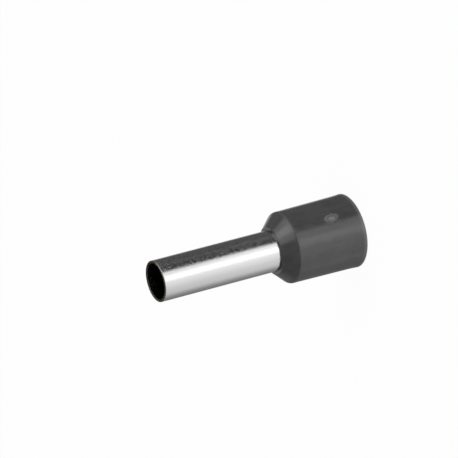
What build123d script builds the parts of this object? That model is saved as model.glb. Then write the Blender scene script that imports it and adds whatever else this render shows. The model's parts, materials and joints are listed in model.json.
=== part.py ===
from build123d import *
from math import cos, radians, sin, tan
import os

# A wire ferrule for stranded wire of 4 square millimetres. A tube of thin tinned copper takes
# the bare strands. A moulded plastic collar on its rear end takes the wire's insulation.
# Sizes are in millimetres. The ferrule stands on the collar's rim, with the origin at the
# rim's centre and +Z along the axis, towards the tube's tip.

# Copper tube
tube_bore = 2.8               # inside diameter
tube_wall = 0.2
tube_reach = 9.9              # bare length ahead of the collar's nose
tip_edge_radius = 0.06        # on the cut end, inside and outside
flare_spread = 0.45           # how far the flared rear end stands out all round the tube
flare_slope = 45              # degrees between the flare's end and the axis

# Plastic collar, inside
collar_length = 6.85
neck_land = 0.1               # straight part of the neck, right behind the nose
neck_bend_radius = 1.2        # where the neck opens into the funnel, and the tube into its flare
grip_clearance = 0.01         # between the tube's skin and the plastic, all the way round
mouth_step = 0.8              # from the neck out to the mouth's wall, room for insulation
mouth_edge_radius = 0.4       # between the funnel and the mouth's wall

# Plastic collar, outside
skirt_wall = 0.46             # thickness of the skirt at its lip
lip_flare = 0.04              # how far the lip turns out at the rim
lip_length = 0.75
lip_blend_radius = 8.0
skirt_taper = 0.07            # how much smaller the skirt's radius is at the shoulder
cone_length = 1.04            # from the shoulder to the nose
shoulder_radius = 0.28
nose_wall = 0.23              # thickness of the plastic where the tube leaves it
nose_edge_radius = 0.09
rim_edge_radius = 0.1         # on the rim, inside and outside

# Gate mark, an oval where the plastic entered the mould
gate_height = 2.44            # of the oval's middle above the rim
gate_width = 0.8              # of the sunk oval at the skin, round the collar
gate_length = 1.25            # and along the collar
gate_depth = 0.05             # below the skin
gate_slope = 55               # degrees between the mark's side and the way it faces
nub_width = 0.28              # the broken stub in the middle
nub_length = 0.5
nub_height = 0.03             # above the skin

# Radii and heights worked out from those sizes
bore_radius = tube_bore / 2
tube_radius = bore_radius + tube_wall
neck_radius = tube_radius + grip_clearance
mouth_radius = neck_radius + mouth_step
skirt_radius = mouth_radius + skirt_wall
nose_radius = neck_radius + nose_wall
tip_height = collar_length + tube_reach
shoulder_height = collar_length - cone_length
slope = radians(flare_slope)
bend_height = collar_length - neck_land
neck_corner_height = bend_height - neck_bend_radius * tan(slope / 2)
taper_share = (gate_height - lip_length) / (shoulder_height - lip_length)
gate_skin_radius = skirt_radius - skirt_taper * taper_share


def turn(corners, radii):
    """Rounds the corners of a closed (radius, height) outline and turns it about the Z axis."""
    outline = FilletPolyline(*corners, radius=radii, close=True)
    section = Plane.XZ * make_face(outline.edges())
    return revolve(section, Axis.Z)


def make_tube():
    """The drawn tube: one thin wall that runs straight and then bends out into the flare."""
    along_flare = Vector(sin(slope), -cos(slope))
    through_wall = Vector(-cos(slope), -sin(slope))
    outer_corner = Vector(tube_radius, neck_corner_height - grip_clearance * tan(slope / 2))
    inner_corner = Vector(bore_radius, outer_corner.Y - tube_wall * tan(slope / 2))
    outer_end = outer_corner + along_flare * (flare_spread / sin(slope))
    inner_end = outer_end + through_wall * tube_wall
    outer_bend_radius = neck_bend_radius + grip_clearance
    corners = [
        Vector(bore_radius, tip_height),
        Vector(tube_radius, tip_height),
        outer_corner,
        outer_end,
        inner_end,
        inner_corner,
    ]
    radii = [
        tip_edge_radius,
        tip_edge_radius,
        outer_bend_radius,
        0,
        0,
        outer_bend_radius + tube_wall,
    ]
    return turn(corners, radii)


def make_collar_body():
    """The moulding: skirt, shoulder, cone and nose outside; neck, funnel and mouth inside."""
    funnel_height = neck_corner_height - mouth_step / tan(slope)
    corners = [
        (mouth_radius, 0),
        (skirt_radius + lip_flare, 0),
        (skirt_radius, lip_length),
        (skirt_radius - skirt_taper, shoulder_height),
        (nose_radius, collar_length),
        (neck_radius, collar_length),
        (neck_radius, neck_corner_height),
        (mouth_radius, funnel_height),
    ]
    radii = [
        rim_edge_radius,
        rim_edge_radius,
        lip_blend_radius,
        shoulder_radius,
        nose_edge_radius,
        0,
        neck_bend_radius,
        mouth_edge_radius,
    ]
    return turn(corners, radii)


def gate_oval(depth, spread):
    """The gate mark's oval this far below the skin on the +X side, made larger all round by a spread."""
    facing_out = Location((gate_skin_radius - depth, 0, gate_height), (0, 90, 0))
    return facing_out * Ellipse(gate_length / 2 + spread, gate_width / 2 + spread)


def make_gate_mark():
    """The shallow oval dish to cut from the skirt, and the stub that stands in it."""
    widening = gate_depth * tan(radians(gate_slope))
    dish = loft([gate_oval(2 * gate_depth, -2 * widening), gate_oval(-gate_depth, widening)], ruled=True)
    core = Cylinder(radius=gate_skin_radius - gate_depth, height=2 * collar_length)
    root = Location((gate_skin_radius - 2 * gate_depth, 0, gate_height), (0, 90, 0))
    stub = extrude(root * Ellipse(nub_length / 2, nub_width / 2), 2 * gate_depth + nub_height)
    return dish - core, stub


def make_collar():
    """The collar with its gate mark."""
    dish, stub = make_gate_mark()
    return make_collar_body() - dish + stub


os.makedirs("parts", exist_ok=True)
export_step(make_tube(), "parts/metal_tube.step")
export_step(make_collar(), "parts/plastic_collar.step")
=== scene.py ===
import json
from math import ceil, cos, hypot, pi, radians, sin, tan

import bmesh
import bpy
from mathutils import Matrix, Vector, noise


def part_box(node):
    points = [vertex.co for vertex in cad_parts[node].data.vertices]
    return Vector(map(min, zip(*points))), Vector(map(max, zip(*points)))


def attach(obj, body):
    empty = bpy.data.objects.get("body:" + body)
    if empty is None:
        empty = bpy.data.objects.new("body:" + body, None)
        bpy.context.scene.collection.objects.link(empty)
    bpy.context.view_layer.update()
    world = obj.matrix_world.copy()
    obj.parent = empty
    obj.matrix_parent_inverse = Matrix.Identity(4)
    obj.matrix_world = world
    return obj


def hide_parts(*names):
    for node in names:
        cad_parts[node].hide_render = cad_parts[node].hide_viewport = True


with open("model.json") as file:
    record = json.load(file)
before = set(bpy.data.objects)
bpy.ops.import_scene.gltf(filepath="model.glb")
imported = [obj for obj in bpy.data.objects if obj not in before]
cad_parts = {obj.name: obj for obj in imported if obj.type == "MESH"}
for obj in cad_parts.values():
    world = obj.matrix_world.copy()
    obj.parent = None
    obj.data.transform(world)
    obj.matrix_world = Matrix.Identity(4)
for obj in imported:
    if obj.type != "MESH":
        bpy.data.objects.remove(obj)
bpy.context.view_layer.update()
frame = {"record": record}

# Sizes in millimetres, from the frame where it has them. The ferrule stands on its collar's rim,
# with +Z towards the tube's tip and +X through the gate mark.
MM = 0.001
tube_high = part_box("metal_tube")[1]
collar_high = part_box("plastic_collar")[1]
dims = {mount["name"]: mount["dims"] for mount in frame["record"]["mounts"]}

# Copper tube
BORE_RADIUS = dims["conductor_bore"]["r_mm"]
TUBE_RADIUS = dims["tube_outside"]["r_mm"]
TIP_HEIGHT = tube_high.z / MM
TIP_EDGE_RADIUS = 0.06
FLARE_SPREAD = tube_high.x / MM - TUBE_RADIUS
FLARE_SLOPE = radians(45)       # between the flare and the axis
GRIP_CLEARANCE = 0.01           # between the tube's skin and the plastic

# Plastic collar
COLLAR_LENGTH = collar_high.z / MM
MOUTH_RADIUS = dims["wire_mouth"]["r_mm"]
MOUTH_EDGE_RADIUS = 0.4
NECK_RADIUS = TUBE_RADIUS + GRIP_CLEARANCE
NECK_LAND = 0.1                 # straight part of the neck, right behind the nose
NECK_BEND_RADIUS = 1.2
LIP_RADIUS = collar_high.y / MM
LIP_FLARE = 0.04                # how far the lip turns out at the rim
LIP_LENGTH = 0.75
LIP_BLEND_RADIUS = 8.0
SKIRT_RADIUS = LIP_RADIUS - LIP_FLARE
SKIRT_TAPER = 0.07              # how much smaller the skirt's radius is at the shoulder
CONE_LENGTH = 1.04
SHOULDER_RADIUS = 0.28
NOSE_WALL = 0.23
NOSE_RADIUS = NECK_RADIUS + NOSE_WALL
NOSE_EDGE_RADIUS = 0.09
RIM_EDGE_RADIUS = 0.1

# Gate mark: a ragged oval dish with a low lip round it, and the torn stub in its middle
GATE_HEIGHT = 2.44
GATE_HALF_WIDTH = 0.4
GATE_HALF_HEIGHT = 0.62
GATE_SECTOR = radians(17)       # the mark lies within this angle of +X
GATE_DEPTH = 0.05
GATE_LIP = 0.005
STUB_HALF_WIDTH = 0.15
STUB_HALF_HEIGHT = 0.27
STUB_RISE = 0.055               # above the dish

# Colours that aren't plain grey
WORN_TIN = (0.55, 0.535, 0.46, 1.0)
CUT_METAL = (0.07, 0.055, 0.02, 1.0)
# Painted shade: the tin inside the bore is darkened to stand in for the shade deep in the tube.
BORE_PAINTED_SHADE = (0.2, 0.19, 0.15, 1.0)

# Camera: it looks at the aim point from this side and height, rolled about its own axis
CAMERA_AIM = Vector((0.60, 2.40, 9.53)) * MM
CAMERA_AZIMUTH = radians(63.11)
CAMERA_ELEVATION = radians(25.37)
CAMERA_ROLL = radians(-104.57)
CAMERA_DISTANCE = 0.25359
CAMERA_LENS = 263.7
SENSOR_WIDTH = 36.0


class Wire:
    """A node's output. Sums on wires add Math nodes, or Vector Math nodes where one is a vector."""

    def __init__(self, socket):
        self.socket = socket
        self.nodes = Nodes(socket.id_data)

    def work(self, operation, first, second):
        pair = (first, second)
        if any(isinstance(term, Wire) and term.socket.type != "VALUE" for term in pair):
            kind = "ShaderNodeVectorMath"
            pair = [term if isinstance(term, (Wire, tuple)) else (term,) * 3 for term in pair]
        else:
            kind = "ShaderNodeMath"
        return self.nodes.add(kind, {"operation": operation}, {0: pair[0], 1: pair[1]})

    def __add__(self, other):
        return self.work("ADD", self, other)

    def __radd__(self, other):
        return self.work("ADD", other, self)

    def __sub__(self, other):
        return self.work("SUBTRACT", self, other)

    def __rsub__(self, other):
        return self.work("SUBTRACT", other, self)

    def __mul__(self, other):
        return self.work("MULTIPLY", self, other)

    def __rmul__(self, other):
        return self.work("MULTIPLY", other, self)

    def __truediv__(self, other):
        return self.work("DIVIDE", self, other)

    def __neg__(self):
        return self.work("MULTIPLY", self, -1)

    def __abs__(self):
        return self.nodes.add("ShaderNodeMath", {"operation": "ABSOLUTE"}, {0: self})

    def __pow__(self, power):
        return self.work("POWER", self, power)

    def rise(self, start, end):
        """Goes smoothly from 0 at start to 1 at end."""
        settings = {"interpolation_type": "SMOOTHSTEP"}
        return self.nodes.add("ShaderNodeMapRange", settings, {0: self, 1: start, 2: end})

    def bump(self, centre, half_width):
        """Is 1 at the centre and fades smoothly to 0 half a width to either side."""
        return abs(self - centre).rise(half_width, 0)

    def dot(self, direction):
        settings = {"operation": "DOT_PRODUCT"}
        return self.nodes.add("ShaderNodeVectorMath", settings, {0: self, 1: direction}, "Value")

    def parts(self):
        """The three coordinates of a vector."""
        return [self.nodes.add("ShaderNodeSeparateXYZ", {}, {0: self}, axis) for axis in "XYZ"]


class Nodes:
    """A node tree that takes values and wires."""

    def __init__(self, tree):
        self.tree = tree

    def add(self, kind, settings, sockets, output=0):
        """Adds a node: its settings first, then the value or wire of each socket."""
        node = self.tree.nodes.new(kind)
        for name, value in settings.items():
            setattr(node, name, value)
        for name, value in sockets.items():
            if isinstance(value, Wire):
                self.tree.links.new(value.socket, node.inputs[name])
            else:
                node.inputs[name].default_value = value
        return Wire(node.outputs[output]) if node.outputs else node

    def ray_is(self, kind):
        """Is 1 for the rays of one kind."""
        return self.add("ShaderNodeLightPath", {}, {}, f"Is {kind} Ray")

    def place(self):
        """The point on the surface, in the ferrule's own frame, in millimetres."""
        return self.add("ShaderNodeTexCoord", {}, {}, "Object") * (1 / MM)

    def noise(self, place, scale, detail=2.0, roughness=0.5):
        """Cloudy noise about 0.5, with scale lumps to the millimetre."""
        sockets = {"Vector": place, "Scale": scale, "Detail": detail, "Roughness": roughness}
        return self.add("ShaderNodeTexNoise", {}, sockets, 0)

    def mix(self, amount, first, second):
        """The first colour where the amount is 0, the second where it is 1."""
        settings = {"data_type": "RGBA"}
        return self.add("ShaderNodeMix", settings, {0: amount, 6: first, 7: second}, 2)

    def dent(self, height):
        """A bumped normal for a height in millimetres."""
        return self.add("ShaderNodeBump", {}, {"Height": height, "Distance": MM, "Strength": 1.0})


def grey(value):
    """A neutral colour."""
    return (value, value, value, 1.0)


def new_finish(name, settings, paint):
    """A material whose constants sit on the shader and whose varying sockets come from paint."""
    material = bpy.data.materials.new(name)
    material.use_nodes = True
    material.node_tree.nodes.clear()
    nodes = Nodes(material.node_tree)
    surface = nodes.add("ShaderNodeBsdfPrincipled", {}, {**settings, **paint(nodes)})
    nodes.add("ShaderNodeOutputMaterial", {}, {"Surface": surface})
    return material


def paint_tin(nodes):
    """Bright tin over drawn copper: pimples, draw lines, a duller tip, a dark cut face, and the bore
    darkened as painted shade.
    """
    place = nodes.place()
    x, y, z = place.parts()
    radius = (x * x + y * y) ** 0.5

    pimples = nodes.noise(place, 9.0, detail=1.0).rise(0.62, 0.68)
    grain = nodes.noise(place, 10.0)
    speckle = nodes.noise(place, 8.0).rise(0.42, 0.62)
    draw_lines = nodes.noise(place * (1.0, 1.0, 0.05), 6.0, detail=3.0, roughness=0.6)
    clouds = nodes.noise(place * (1.0, 1.0, 0.4), 1.2)

    near_tip = z.rise(TIP_HEIGHT - 1.0, TIP_HEIGHT)
    edge = z.rise(TIP_HEIGHT - 0.12, TIP_HEIGHT - 0.03)
    cut_end = z.rise(TIP_HEIGHT - 0.05, TIP_HEIGHT - 0.01)
    cut = cut_end * radius.rise(TUBE_RADIUS - 0.01, TUBE_RADIUS - 0.04)
    # Painted shade: the inside of the bore is darkened, standing in for the shade inside the tube.
    bore_shade = radius.rise(BORE_RADIUS + 0.04, BORE_RADIUS + 0.01)

    tin = nodes.mix(z.rise(TIP_HEIGHT, COLLAR_LENGTH + 1), grey(0.735), grey(0.77))
    worn = nodes.mix(edge * 0.8, tin, WORN_TIN)
    sheared = nodes.mix(cut, worn, CUT_METAL)
    colour = nodes.mix(bore_shade, sheared, BORE_PAINTED_SHADE)
    rough = 0.11 + 0.145 * speckle + 0.02 * clouds + 0.05 * near_tip + 0.15 * edge + 0.2 * cut
    height = 0.0025 * pimples + 0.0026 * grain + 0.001 * draw_lines
    return {"Base Color": colour, "Roughness": rough, "Normal": nodes.dent(height)}


def oval(across, up, half_width, half_height):
    """Distance from an oval's middle: 0 there and 1 on the oval."""
    across = across / half_width
    up = up / half_height
    return (across * across + up * up) ** 0.5


def paint_gate(nodes, place):
    """How pale the plastic is at the gate mark: in the dish and most on the stub, where it tore, and as a
    painted highlight on the lip's lit side.
    """
    x, y, z = place.parts()
    torn = nodes.noise(place, 3.5, detail=3.0, roughness=0.65) - 0.5
    up = z - GATE_HEIGHT
    from_gate = oval(y, up, GATE_HALF_WIDTH, GATE_HALF_HEIGHT)
    from_stub = oval(y, up, STUB_HALF_WIDTH, STUB_HALF_HEIGHT)
    lit_side = (up / GATE_HALF_HEIGHT - y / GATE_HALF_WIDTH + 3.0 * torn).rise(-0.7, 1.0)

    dish = (from_gate + 0.9 * torn).rise(1.05, 0.6)
    # Painted highlight: the lip is made pale only on its lit side.
    lip = (from_gate + 0.8 * torn).bump(0.9, 0.3) * lit_side
    stub = (from_stub + 2.0 * torn).rise(1.3, 0.3)
    gate_side = x.rise(MOUTH_RADIUS + 0.1, MOUTH_RADIUS + 0.2)
    return (0.4 * dish + 0.25 * lip + 0.35 * stub) * gate_side


def paint_plastic(nodes):
    """Dark grey moulded plastic: satin, cloudy, streaked, paler at the rim from rubbing and from a
    painted reflection, pale where the gate tore, with a painted highlight on the lit side of the gate's
    lip.
    """
    place = nodes.place()
    x, y, z = place.parts()
    radius = (x * x + y * y) ** 0.5
    grain = nodes.noise(place, 14.0, detail=3.0, roughness=0.6)
    flow = nodes.noise(place * (1.0, 1.0, 0.12), 2.2, detail=3.0)
    hairlines = nodes.noise(place * (1.0, 1.0, 0.03), 2.0, detail=1.0).bump(0.5, 0.02)
    clouds = nodes.noise(place, 0.9, detail=3.0)
    gloss = nodes.noise(place * (1.0, 1.0, 0.5), 1.6).rise(0.35, 0.65)
    specks = nodes.noise(place, 6.0, detail=4.0, roughness=0.7).rise(0.66, 0.76)

    # Torn plastic paleness at the gate, with the painted highlight on the lit side of its lip.
    gate_pale_and_highlight = paint_gate(nodes, place)
    near_rim = z.rise(0.5, 0.0)
    # Paler band at the rim: partly rubbed wear, partly a painted reflection of the bright room in the
    # rim's rounding.
    rubbed_rim_and_reflection = z.rise(0.45, 0.02) * radius.rise(MOUTH_RADIUS + 0.1, MOUTH_RADIUS + 0.3)
    shoulder = z.bump(COLLAR_LENGTH - CONE_LENGTH, 0.35)

    base = nodes.mix(clouds.rise(0.25, 0.75), grey(0.050), grey(0.064))
    streaked = nodes.mix(flow.rise(0.45, 0.75) * 0.5, base, grey(0.072))
    lined = nodes.mix(hairlines * clouds.rise(0.4, 0.6) * 0.5, streaked, grey(0.035))
    specked = nodes.mix(specks * 0.35 * (1 + near_rim), lined, grey(0.03))
    marked = nodes.mix(gate_pale_and_highlight.rise(0.0, 1.0), specked, grey(0.175))
    colour = nodes.mix(rubbed_rim_and_reflection, marked, grey(0.14))
    rough = 0.12 + 0.07 * gloss + 0.08 * specks + 0.5 * gate_pale_and_highlight + 0.1 * rubbed_rim_and_reflection + 0.15 * shoulder
    height = 0.002 * grain + 0.003 * flow
    return {"Base Color": colour, "Roughness": rough, "Normal": nodes.dent(height)}


def rounded(corners, radii, arc_step):
    """Points along a closed (radius, height) outline, with an arc at each corner that has a radius."""
    points = []
    corners = [Vector(corner) for corner in corners]
    for i, (corner, radius) in enumerate(zip(corners, radii)):
        if radius == 0:
            points.append(corner)
            continue
        before = corners[i - 1] - corner
        after = corners[(i + 1) % len(corners)] - corner
        inner_angle = before.angle(after)
        reach = radius / tan(inner_angle / 2)
        towards_centre = (before.normalized() + after.normalized()).normalized()
        centre = corner + towards_centre * (radius / sin(inner_angle / 2))
        start = corner + before.normalized() * reach - centre
        sweep = pi - inner_angle
        turn = 1 if before.x * after.y - before.y * after.x < 0 else -1
        steps = max(3, ceil(sweep / arc_step))
        for step in range(steps + 1):
            angle = turn * sweep * step / steps
            points.append(centre + Matrix.Rotation(angle, 2) @ start)
    return points


def with_rows(points, longest, guard=0.03):
    """Splits the long sides of an outline, with a close row beside each end to hold the shading."""
    rows = []
    for i, point in enumerate(points):
        side = points[(i + 1) % len(points)] - point
        rows.append(point)
        if side.length > 4 * guard:
            count = ceil(side.length / longest)
            close = guard / side.length
            shares = [close, *(n / count for n in range(1, count)), 1 - close]
            rows.extend(point + side * share for share in shares)
    return rows


def lathe(name, outline, angles):
    """Turns a closed outline in millimetres about the Z axis into a mesh object."""
    mesh = bmesh.new()
    columns = []
    for angle in angles:
        spots = [(r * cos(angle) * MM, r * sin(angle) * MM, z * MM) for r, z in outline]
        columns.append([mesh.verts.new(spot) for spot in spots])
    for left, right in zip(columns, columns[1:] + columns[:1]):
        for i in range(len(outline)):
            mesh.faces.new((left[i - 1], right[i - 1], right[i], left[i]))
    bmesh.ops.recalc_face_normals(mesh, faces=mesh.faces)
    data = bpy.data.meshes.new(name)
    mesh.to_mesh(data)
    mesh.free()
    data.shade_smooth()
    piece = bpy.data.objects.new(name, data)
    bpy.context.scene.collection.objects.link(piece)
    return piece


def smooth_step(value, start, end):
    """Goes smoothly from 0 at start to 1 at end."""
    share = min(1.0, max(0.0, (value - start) / (end - start)))
    return share * share * (3 - 2 * share)


def gate_rise(y, z):
    """How far the skin stands out near the gate mark, in millimetres; under the skin it is negative."""
    up = z - GATE_HEIGHT
    torn = noise.noise(Vector((y, z, 0.0)) * 9.0)
    ragged = noise.noise(Vector((y, z, 5.0)) * 3.5)
    ring = hypot(y / GATE_HALF_WIDTH, up / GATE_HALF_HEIGHT) + 0.25 * ragged
    core = hypot(y / STUB_HALF_WIDTH, up / STUB_HALF_HEIGHT) + 0.35 * ragged
    dish = -GATE_DEPTH * smooth_step(ring, 1.0, 0.6)
    lip = GATE_LIP * smooth_step(abs(ring - 1.05), 0.22, 0.0)
    stub = STUB_RISE * smooth_step(core, 1.4, 0.3)
    return (dish + stub) * (1 + 0.3 * torn) + lip * (1 + torn)


def make_tube():
    """The drawn tube: a thin wall, straight and then bent out into the flare that the collar grips."""
    along_flare = Vector((sin(FLARE_SLOPE), -cos(FLARE_SLOPE)))
    through_wall = Vector((-cos(FLARE_SLOPE), -sin(FLARE_SLOPE)))
    bend = NECK_BEND_RADIUS + GRIP_CLEARANCE
    wall = TUBE_RADIUS - BORE_RADIUS
    corner_height = COLLAR_LENGTH - NECK_LAND - bend * tan(FLARE_SLOPE / 2)
    outer_corner = Vector((TUBE_RADIUS, corner_height))
    inner_corner = Vector((BORE_RADIUS, corner_height - wall * tan(FLARE_SLOPE / 2)))
    outer_end = outer_corner + along_flare * (FLARE_SPREAD / sin(FLARE_SLOPE))
    corners = [
        (BORE_RADIUS, TIP_HEIGHT),
        (TUBE_RADIUS, TIP_HEIGHT),
        outer_corner,
        outer_end,
        outer_end + through_wall * wall,
        inner_corner,
    ]
    radii = [TIP_EDGE_RADIUS, TIP_EDGE_RADIUS, bend, 0, 0, bend + wall]
    outline = with_rows(rounded(corners, radii, arc_step=radians(15)), longest=0.5)
    columns = 192
    return lathe("tinned_tube", outline, [2 * pi * n / columns for n in range(columns)])


def make_collar():
    """The moulded collar, with finer columns near the gate mark and the mark pressed into its skin."""
    corner_height = COLLAR_LENGTH - NECK_LAND - NECK_BEND_RADIUS * tan(FLARE_SLOPE / 2)
    funnel_height = corner_height - (MOUTH_RADIUS - NECK_RADIUS) / tan(FLARE_SLOPE)
    corners = [
        (MOUTH_RADIUS, 0),
        (LIP_RADIUS, 0),
        (SKIRT_RADIUS, LIP_LENGTH),
        (SKIRT_RADIUS - SKIRT_TAPER, COLLAR_LENGTH - CONE_LENGTH),
        (NOSE_RADIUS, COLLAR_LENGTH),
        (NECK_RADIUS, COLLAR_LENGTH),
        (NECK_RADIUS, corner_height),
        (MOUTH_RADIUS, funnel_height),
    ]
    radii = [
        RIM_EDGE_RADIUS,
        RIM_EDGE_RADIUS,
        LIP_BLEND_RADIUS,
        SHOULDER_RADIUS,
        NOSE_EDGE_RADIUS,
        0,
        NECK_BEND_RADIUS,
        MOUTH_EDGE_RADIUS,
    ]
    outline = with_rows(rounded(corners, radii, arc_step=radians(9)), longest=0.08)
    columns = 224
    crowding = 0.7
    turns = [2 * pi * n / columns for n in range(columns)]
    collar = lathe("moulded_collar", outline, [turn - crowding * sin(turn) for turn in turns])
    skin = (MOUTH_RADIUS + SKIRT_RADIUS) / 2
    for vertex in collar.data.vertices:
        spot = vertex.co / MM
        radius = hypot(spot.x, spot.y)
        if spot.x > skin * cos(GATE_SECTOR) and radius > skin:
            rise = gate_rise(spot.y, spot.z)
            vertex.co.x += spot.x / radius * rise * MM
            vertex.co.y += spot.y / radius * rise * MM
    return collar


def show(piece, finish, node):
    """Gives a piece its finish and stands it in for its CAD node."""
    piece.data.materials.append(finish)
    piece.data.set_sharp_from_angle(angle=radians(40))
    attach(piece, "root")
    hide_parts(node)


def direction(azimuth, elevation=0.0):
    """The direction of this azimuth, which is 0 at -Y and grows towards +X, and this elevation."""
    level = cos(elevation)
    return Vector((sin(azimuth) * level, -cos(azimuth) * level, sin(elevation)))


def make_camera():
    """A long lens on the photograph's side, rolled so that the ferrule lies across the picture."""
    back = direction(CAMERA_AZIMUTH, CAMERA_ELEVATION)
    level_right = direction(CAMERA_AZIMUTH + pi / 2)
    level_up = back.cross(level_right)
    right = level_right * cos(CAMERA_ROLL) + level_up * sin(CAMERA_ROLL)
    up = back.cross(right)
    data = bpy.data.cameras.new("camera")
    data.sensor_width = SENSOR_WIDTH
    data.lens = CAMERA_LENS
    data.clip_start = 0.01
    data.clip_end = 10
    camera = bpy.data.objects.new("camera", data)
    turned = Matrix((right, up, back)).transposed().to_4x4()
    camera.matrix_world = Matrix.Translation(CAMERA_AIM + back * CAMERA_DISTANCE) @ turned
    bpy.context.scene.collection.objects.link(camera)
    bpy.context.scene.camera = camera


def make_floor():
    """A wide pale floor that stays white to the eye and keeps a soft shadow."""
    half = 1.5
    whiteness = 0.95
    corners = [(-half, -half, 0), (half, -half, 0), (half, half, 0), (-half, half, 0)]
    data = bpy.data.meshes.new("floor")
    data.from_pydata(corners, [], [(0, 1, 2, 3)])
    floor = bpy.data.objects.new("floor", data)
    bpy.context.scene.collection.objects.link(floor)
    material = bpy.data.materials.new("pale_floor")
    material.use_nodes = True
    material.node_tree.nodes.clear()
    nodes = Nodes(material.node_tree)
    matte = nodes.add("ShaderNodeBsdfDiffuse", {}, {"Color": grey(0.95)})
    white = nodes.add("ShaderNodeEmission", {}, {"Color": grey(1.0), "Strength": 1.0})
    seen = nodes.ray_is("Camera") + nodes.ray_is("Glossy") + nodes.ray_is("Transmission")
    share = whiteness * seen.rise(0, 1)
    surface = nodes.add("ShaderNodeMixShader", {}, {0: share, 1: matte, 2: white})
    nodes.add("ShaderNodeOutputMaterial", {}, {"Surface": surface})
    data.materials.append(material)
    floor.visible_glossy = False


def mirrored_room(nodes):
    """How bright each direction looks to a shiny surface: four walls, a ceiling and a white ground.

    Places on the walls are degrees round the ferrule. They start at the camera's side and grow
    towards the lower edge of the picture.
    """
    front = direction(CAMERA_AZIMUTH)
    right = direction(CAMERA_AZIMUTH + pi / 2)
    ray = nodes.add("ShaderNodeTexCoord", {}, {}, "Generated")
    towards = {0: -ray.dot(right), 1: ray.dot(front)}
    around = nodes.add("ShaderNodeMath", {"operation": "ARCTAN2"}, towards) * (180 / pi)
    height = ray.dot((0.0, 0.0, 1.0))

    # Walls: a dark flag beside a wide bright card, with a lamp's glow in it, and smaller cards
    flag = 0.038 + 0.036 * around.rise(-54, -72) + 0.018 * around.bump(-82, 14)
    flag_end = 0.015 * around.rise(-100, -125)
    key_card = 1.03 * around.rise(-46, -27.5) * (1 - 0.83 * around.rise(0, 150))
    side_card = 0.14 * around.bump(88, 30)
    lamp_glow = 0.6 * around.bump(0, 23)
    back_card = 0.7 * (around.rise(-145, -170) + around.rise(160, 178))
    horizon = 0.4 * around.rise(-135, -115) * around.rise(-30, -50) * height.rise(-0.32, -0.05)
    walls = flag + flag_end + key_card + side_card + lamp_glow + back_card + horizon

    # Ceiling: one bright card off to the side, and a weaker light towards the rear
    top_card_middle = front * 0.198 + right * 0.636 + Vector((0, 0, 0.745))
    near_middle = ray.dot(tuple(top_card_middle.normalized()))
    top_card = near_middle.rise(cos(radians(36)), cos(radians(26)))
    top_card_core = 1.1 * near_middle.rise(cos(radians(16)), cos(radians(4)))
    rear_light = 0.6 * abs(around).rise(135, 160) * height.rise(0.85, 0.6)
    ceiling = 0.02 + top_card + top_card_core + rear_light

    overhead = height.rise(0.15, 0.45)
    under = height.rise(-0.5, -0.78)
    return (walls * (1 - overhead) + ceiling * overhead) * (1 - under) + under


def make_world():
    """A white backdrop to the eye, even light for dull surfaces, and a room for shiny ones to mirror."""
    world = bpy.data.worlds.new("studio")
    world.use_nodes = True
    world.node_tree.nodes.clear()
    nodes = Nodes(world.node_tree)
    even_light = 0.75
    bounced = nodes.add("ShaderNodeLightPath", {}, {}, "Diffuse Depth").rise(0, 1)
    mirror = nodes.ray_is("Glossy") * (1 - bounced)
    backdrop = nodes.ray_is("Camera") + nodes.ray_is("Transmission")
    strength = even_light * (1 - mirror - backdrop) + mirrored_room(nodes) * mirror + backdrop
    light = nodes.add("ShaderNodeBackground", {}, {"Color": grey(1.0), "Strength": strength})
    nodes.add("ShaderNodeOutputWorld", {}, {"Surface": light})
    bpy.context.scene.world = world


def make_lamp(name, azimuth, elevation, distance, size, power):
    """A square soft lamp that faces the ferrule and lights dull surfaces only."""
    data = bpy.data.lights.new(name, "AREA")
    data.size = size
    data.energy = power
    lamp = bpy.data.objects.new(name, data)
    back = direction(azimuth, elevation)
    lamp.location = CAMERA_AIM + back * distance
    lamp.rotation_mode = "QUATERNION"
    lamp.rotation_quaternion = back.to_track_quat("Z", "Y")
    lamp.visible_glossy = False
    bpy.context.scene.collection.objects.link(lamp)


bpy.context.scene.view_settings.view_transform = "Standard"
tin = new_finish("bright_tin", {"Metallic": 1.0}, paint_tin)
plastic = new_finish("dark_plastic", {"Metallic": 0.0, "IOR": 1.6}, paint_plastic)
show(make_tube(), tin, "metal_tube")
show(make_collar(), plastic, "plastic_collar")
make_camera()
make_world()
make_floor()
make_lamp("softbox", CAMERA_AZIMUTH + radians(60), radians(15), distance=0.5, size=0.4, power=1.0)
